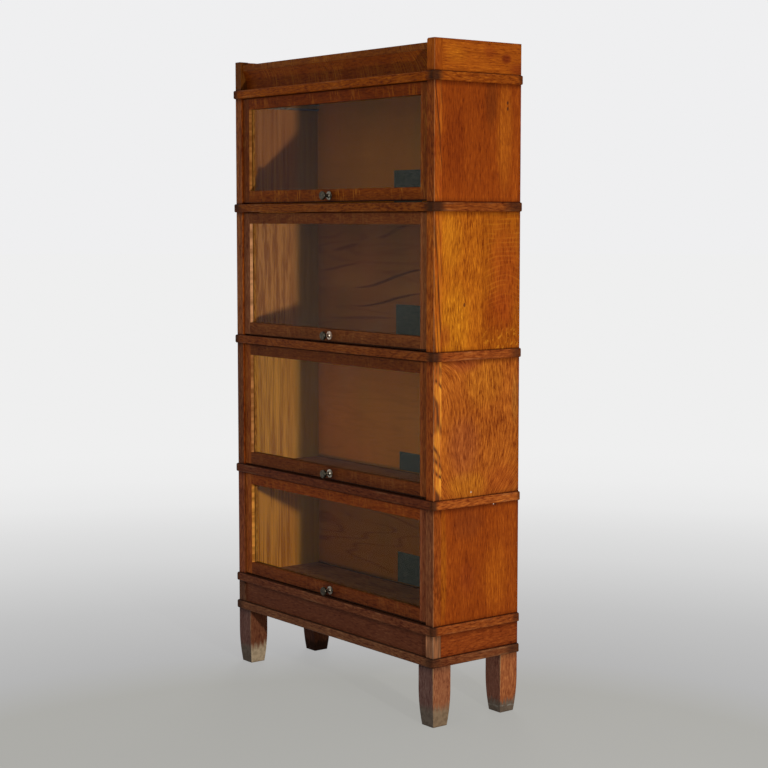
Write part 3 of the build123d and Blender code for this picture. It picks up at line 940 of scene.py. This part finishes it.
dress(
    oak(
        "crown_band_oak",
        1.9,
        band_grain,
        (0.32, 0.068, 0.005),
        figure=0.5,
        extras=(band_wear_and_shade("crown_band", corner_reach=0.036, rear_reach=0.02, front_tint=(1.0, 0.98, 0.63)),),
    ),
    "crown_band",
)
dress(
    oak(
        "crown_front_oak",
        4.4,
        crosswise,
        (0.225, 0.042, 0.0025),
        figure=0.2,
        bold=0.8,
        rays=(crown_rays,),
        extras=(faded_fillet,),
    ),
    "crown_front",
)
crown_top_shade_lift = 0.006  # the top of the crown has no band over it, so it gets less of the painted shade and dirt than that of a section
dress(
    oak(
        "crown_side_oak",
        8.2,
        crown_grain,
        (0.42, 0.092, 0.006),
        figure=0.35,
        bold=0.75,
        dashes=(44.0, 360.0),
        extras=(
            dark_left_end,
            lights_and_darks(*crown_patches),
            panel_wear_and_shade(low("crown_sides", "z"), high("crown_sides", "z") + crown_top_shade_lift),
        ),
    ),
    "crown_sides",
)
dress(
    oak("crown_board_oak", 3.3, crosswise, (0.20, 0.06, 0.015), gloss=0.55),
    "crown_deck",
    "crown_rear_rail",
)
dress(oak("ceiling_oak", 5.3, crosswise, (0.30, 0.12, 0.045), bold=0.5), "crown_bottom_board")

base_low, base_high = low("base_posts", "z"), high("base_posts", "z")
dress(
    oak(
        "lower_band_oak",
        2.2,
        band_grain,
        (0.17, 0.046, 0.014),
        figure=0.4,
        extras=(
            band_wear_and_shade("base_lower_band", corner_reach=0.045, rear_reach=0.06, front_tint=(1.12, 1.50, 2.0)),
        ),
    ),
    "base_lower_band",
)
dress(oak("base_board_oak", 2.7, crosswise, (0.20, 0.09, 0.04), gloss=0.6), "base_board")
dress(
    oak("apron_oak", 6.6, crosswise, (0.148, 0.042, 0.0175), figure=0.3, bold=0.7),
    "base_front_and_rear_rails",
)
dress(
    oak(
        "base_side_oak",
        9.4,
        backwards,
        (0.245, 0.046, 0.007),
        figure=0.35,
        bold=0.85,
        extras=(panel_wear_and_shade(base_low, base_high),),
    ),
    "base_side_rails",
)
dress(
    oak(
        "base_post_oak",
        1.3,
        upright,
        (0.12, 0.036, 0.014),
        figure=0.3,
        extras=(worn_block, panel_wear_and_shade(base_low, base_high, 0.7)),
    ),
    "base_posts",
)

grey_brown = (0.155, 0.125, 0.095)
leg_tones = {
    "leg_front_left": (0.19, 0.060, 0.026),
    "leg_front_right": (0.29, 0.099, 0.041),
    # painted shade: the back-left leg is given a much darker tone
    "leg_back_left": (0.095, 0.030, 0.012),
    "leg_back_right": (0.33, 0.096, 0.030),
}
leg_looks = {
    "leg_front_left": {
        "front_tint": (0.85, 1.25, 2.2),
        "scuff_height": 0.053,
        "front_foot": grey_brown,
        "side_foot": (0.57, 0.43, 0.265),
    },
    "leg_front_right": {
        "front_tint": (0.52, 0.74, 1.4),
        "scuff_height": 0.054,
        "front_foot": grey_brown,
        "side_foot": (0.25, 0.172, 0.100),
    },
    # painted shade: the back-left leg's foot is near black
    "leg_back_left": {
        "front_tint": (0.8, 0.8, 1.0),
        "scuff_height": 0.030,
        "front_foot": grime_and_shade,
        "side_foot": grime_and_shade,
    },
    "leg_back_right": {
        "front_tint": (0.60, 0.80, 1.6),
        "scuff_height": 0.035,
        "front_foot": grey_brown,
        "side_foot": (0.14, 0.11, 0.078),
        "scratch_height": 0.017,
    },
}
for number, (leg, tone) in enumerate(leg_tones.items()):
    leg_layers = leg_wear_and_shade(leg, **leg_looks[leg])
    dress(oak(f"{leg}_oak", 7.7 + number, upright, tone, figure=0.3, bold=0.8, extras=(leg_layers,)), leg)


# ------------------------------------------------------------------ glass, metal and paper
def window_glass():
    """Thin clear glass that shines a little more at a low angle and where it is smeared."""
    f = Finish("window_glass")
    smear = f.noise(f.place, scale=6.0, detail=4.0, roughness=0.6, distortion=0.5).ramp(0.5, 0.8)
    clear = f.add("ShaderNodeBsdfTransparent", None, {"Color": (0.965, 0.975, 0.965, 1.0)})
    mirror = f.add("ShaderNodeBsdfGlossy", None, {"Color": (1.0, 1.0, 1.0, 1.0), "Roughness": 0.03})
    facing = f.add("ShaderNodeLayerWeight", None, {"Blend": 0.5}, output="Facing")
    shine = facing * facing * facing * 0.055 + 0.005
    return f.show(f.add("ShaderNodeMixShader", None, (shine + smear * 0.004, clear, mirror)))


def brass_tarnish_and_reflection(name, flange):
    """Old brass, painted almost black on the head of a knob as a dark reflection, and brighter at its
    flange.
    """
    f = Finish(name)
    tarnish = f.noise(f.place, scale=160.0, detail=4.0, roughness=0.65)
    # painted reflection: the head of a knob is darkened as if it mirrored a dark room
    head = f.y.ramp(knob_neck_y + 0.002, knob_neck_y - 0.002)
    dull = f.mix(head, tinted(flange, 0.32, 0.30, 0.28), (0.024, 0.020, 0.014))
    bright = f.mix(head, flange, (0.098, 0.080, 0.055))
    metal = f.mix(tarnish.ramp(0.35, 0.7), dull, bright)
    return f.surface(
        {
            "Base Color": metal,
            "Metallic": 1.0,
            "Roughness": 0.22 + tarnish * 0.22,
            "Normal": f.bump(tarnish, 0.15, 0.0003),
        }
    )


def dull_steel():
    """Grey steel with spots of rust."""
    f = Finish("dull_steel")
    rust = f.noise(f.place, scale=90.0, detail=4.0, roughness=0.65)
    metal = f.mix(rust.ramp(0.5, 0.75), (0.30, 0.31, 0.31), (0.16, 0.10, 0.06))
    return f.surface({"Base Color": metal, "Metallic": 0.9, "Roughness": 0.38 + rust * 0.3})


def label_paper():
    """Old grey-green paper, blank and a little stained."""
    f = Finish("label_paper")
    stain = f.noise(f.point(f.x * 60.0, f.y, f.z * 150.0), detail=4.0, roughness=0.6)
    fibre = f.noise(f.place, scale=900.0, roughness=0.6)
    paper = f.mix(stain.ramp(0.35, 0.68), (0.042, 0.058, 0.043), (0.085, 0.098, 0.068))
    return f.surface(
        {"Base Color": paper, "Roughness": 0.75 + stain * 0.1, "Normal": f.bump(fibre, 0.2, 0.0002)}
    )


flange_tones = {
    1: (0.26, 0.24, 0.19),
    2: (0.78, 0.62, 0.49),
    3: (0.52, 0.47, 0.38),
    4: (0.36, 0.33, 0.27),
}
glass, steel, paper = window_glass(), dull_steel(), label_paper()
for k in sections:
    dress(glass, f"door_{k}_glass")
    dress(brass_tarnish_and_reflection(f"brass_tarnish_and_reflection_{k}", flange_tones[k]), f"door_{k}_knob")
    dress(steel, f"door_{k}_carriage")
dress(paper, "shelf_labels")


# ------------------------------------------------------------------ floor, light and camera
room_white = 0.863  # of the air and the far floor, as the eye sees them
ambient = 0.42  # strength of the air's light on the object
floor_radius = 60.0
pool_x, pool_y, pool_reach = 0.9, -0.7, 6.5  # middle of the dimmer glow painted on the floor, and where it ends
pool_levels = (  # distance from that middle, and how bright the floor is there
    (1.2, 0.412),
    (1.5, 0.458),
    (2.15, 0.532),
    (3.0, 0.668),
    (4.2, 0.807),
    (4.95, 0.847),
    (5.9, room_white),
)
pool_warmth = (1.0, 0.99, 0.935)  # the near floor glows a warm grey
shadow_share = 0.14  # how much of the floor's light a shadow can take
shadow_start, shadow_full = 2.6, 0.6  # from the middle of the case: where it begins, and is full
catch_gain = 1.85  # caught light put in for the glow taken out; the shadow is where it can't fall
floor_grey = (0.42, 0.42, 0.42, 1.0)  # of the floor as the object sees it
black = (0.0, 0.0, 0.0)


def seen(tree):
    """1 for rays that reach the eye straight, off metal or through glass."""
    straight, mirrored, through = (
        tree.add("ShaderNodeLightPath", output=f"Is {kind} Ray")
        for kind in ("Camera", "Glossy", "Transmission")
    )
    return straight.larger(mirrored).larger(through)


def studio_floor():
    """A pale floor that glows as bright as it should look, less where it keeps the shadow."""
    f = Finish("studio_floor")
    beside, beyond = f.x - pool_x, f.y - pool_y
    reach = (beside * beside + beyond * beyond).root()
    pale = f.add("ShaderNodeValToRGB", None, (reach / pool_reach,))
    (near_place, near_level), *between, (far_place, far_level) = pool_levels
    stops = pale.socket.node.color_ramp.elements
    stops[0].color = colour(tinted((near_level,) * 3, *pool_warmth))
    stops[0].position = near_place / pool_reach
    stops[1].color = colour((far_level,) * 3)
    stops[1].position = far_place / pool_reach
    for place, level in between:
        stops.new(place / pool_reach).color = colour((level,) * 3)
    shadowed = (f.x * f.x + f.y * f.y).root().ramp(shadow_start, shadow_full) * shadow_share
    glow = f.mix(shadowed, pale, black)
    catch = f.mix(1.0 - shadowed * catch_gain, pale, black)
    plain = f.add("ShaderNodeBsdfDiffuse", None, {"Color": floor_grey})
    bright = f.add(
        "ShaderNodeAddShader",
        None,
        (
            f.add("ShaderNodeEmission", None, {"Color": glow, "Strength": 1.0}),
            f.add("ShaderNodeBsdfDiffuse", None, {"Color": catch}),
        ),
    )
    return f.show(f.add("ShaderNodeMixShader", None, (seen(f), plain, bright)))


bpy.ops.mesh.primitive_circle_add(
    vertices=96, radius=floor_radius, fill_type="NGON", location=(0.0, 0.0, 0.0)
)
studio = bpy.context.object
studio.name = "studio_floor"
studio.data.materials.append(studio_floor())

world = bpy.data.worlds.new("studio_air")
bpy.context.scene.world = world
world.use_nodes = True
air = Tree(world.node_tree)
strength = seen(air) * (room_white - ambient) + ambient
sky = air.add("ShaderNodeBackground", None, {"Color": (1.0, 1.0, 1.01, 1.0), "Strength": strength})
air.add("ShaderNodeOutputWorld", None, {"Surface": sky})


def lamp(name, place, target, power, size):
    """A round lamp of that size, turned towards its target."""
    light = bpy.data.lights.new(name, "AREA")
    light.shape = "DISK"
    light.size = size
    light.energy = power
    stand = bpy.data.objects.new(name, light)
    bpy.context.scene.collection.objects.link(stand)
    stand.location = place
    aim = Vector(target) - Vector(place)
    stand.rotation_euler = aim.to_track_quat("-Z", "Y").to_euler()


lamp("key_from_the_right", (2.69, -0.68, 0.828), (0.2, 0.0, 0.828), power=34.0, size=0.09)
lamp("fill_from_behind_left", (-3.2, 2.6, 2.6), (0.0, 0.0, 0.8), power=60.0, size=1.6)

eye_place = (3.666, -2.791, 1.246)
look_down, look_round = 5.38, 52.17  # degrees below level, and round from the front
sensor_width = 36.0
view_pixels, focal_pixels = 768.0, 1745.0  # width of the view and focal length
camera = bpy.data.cameras.new("view")
camera.sensor_width = sensor_width
camera.lens = sensor_width * focal_pixels / view_pixels
camera.clip_end = 200.0
eye = bpy.data.objects.new("view", camera)
eye.location = eye_place
eye.rotation_euler = (radians(90.0 - look_down), 0.0, radians(look_round))
bpy.context.scene.collection.objects.link(eye)
bpy.context.scene.camera = eye
bpy.context.scene.view_settings.view_transform = "Standard"
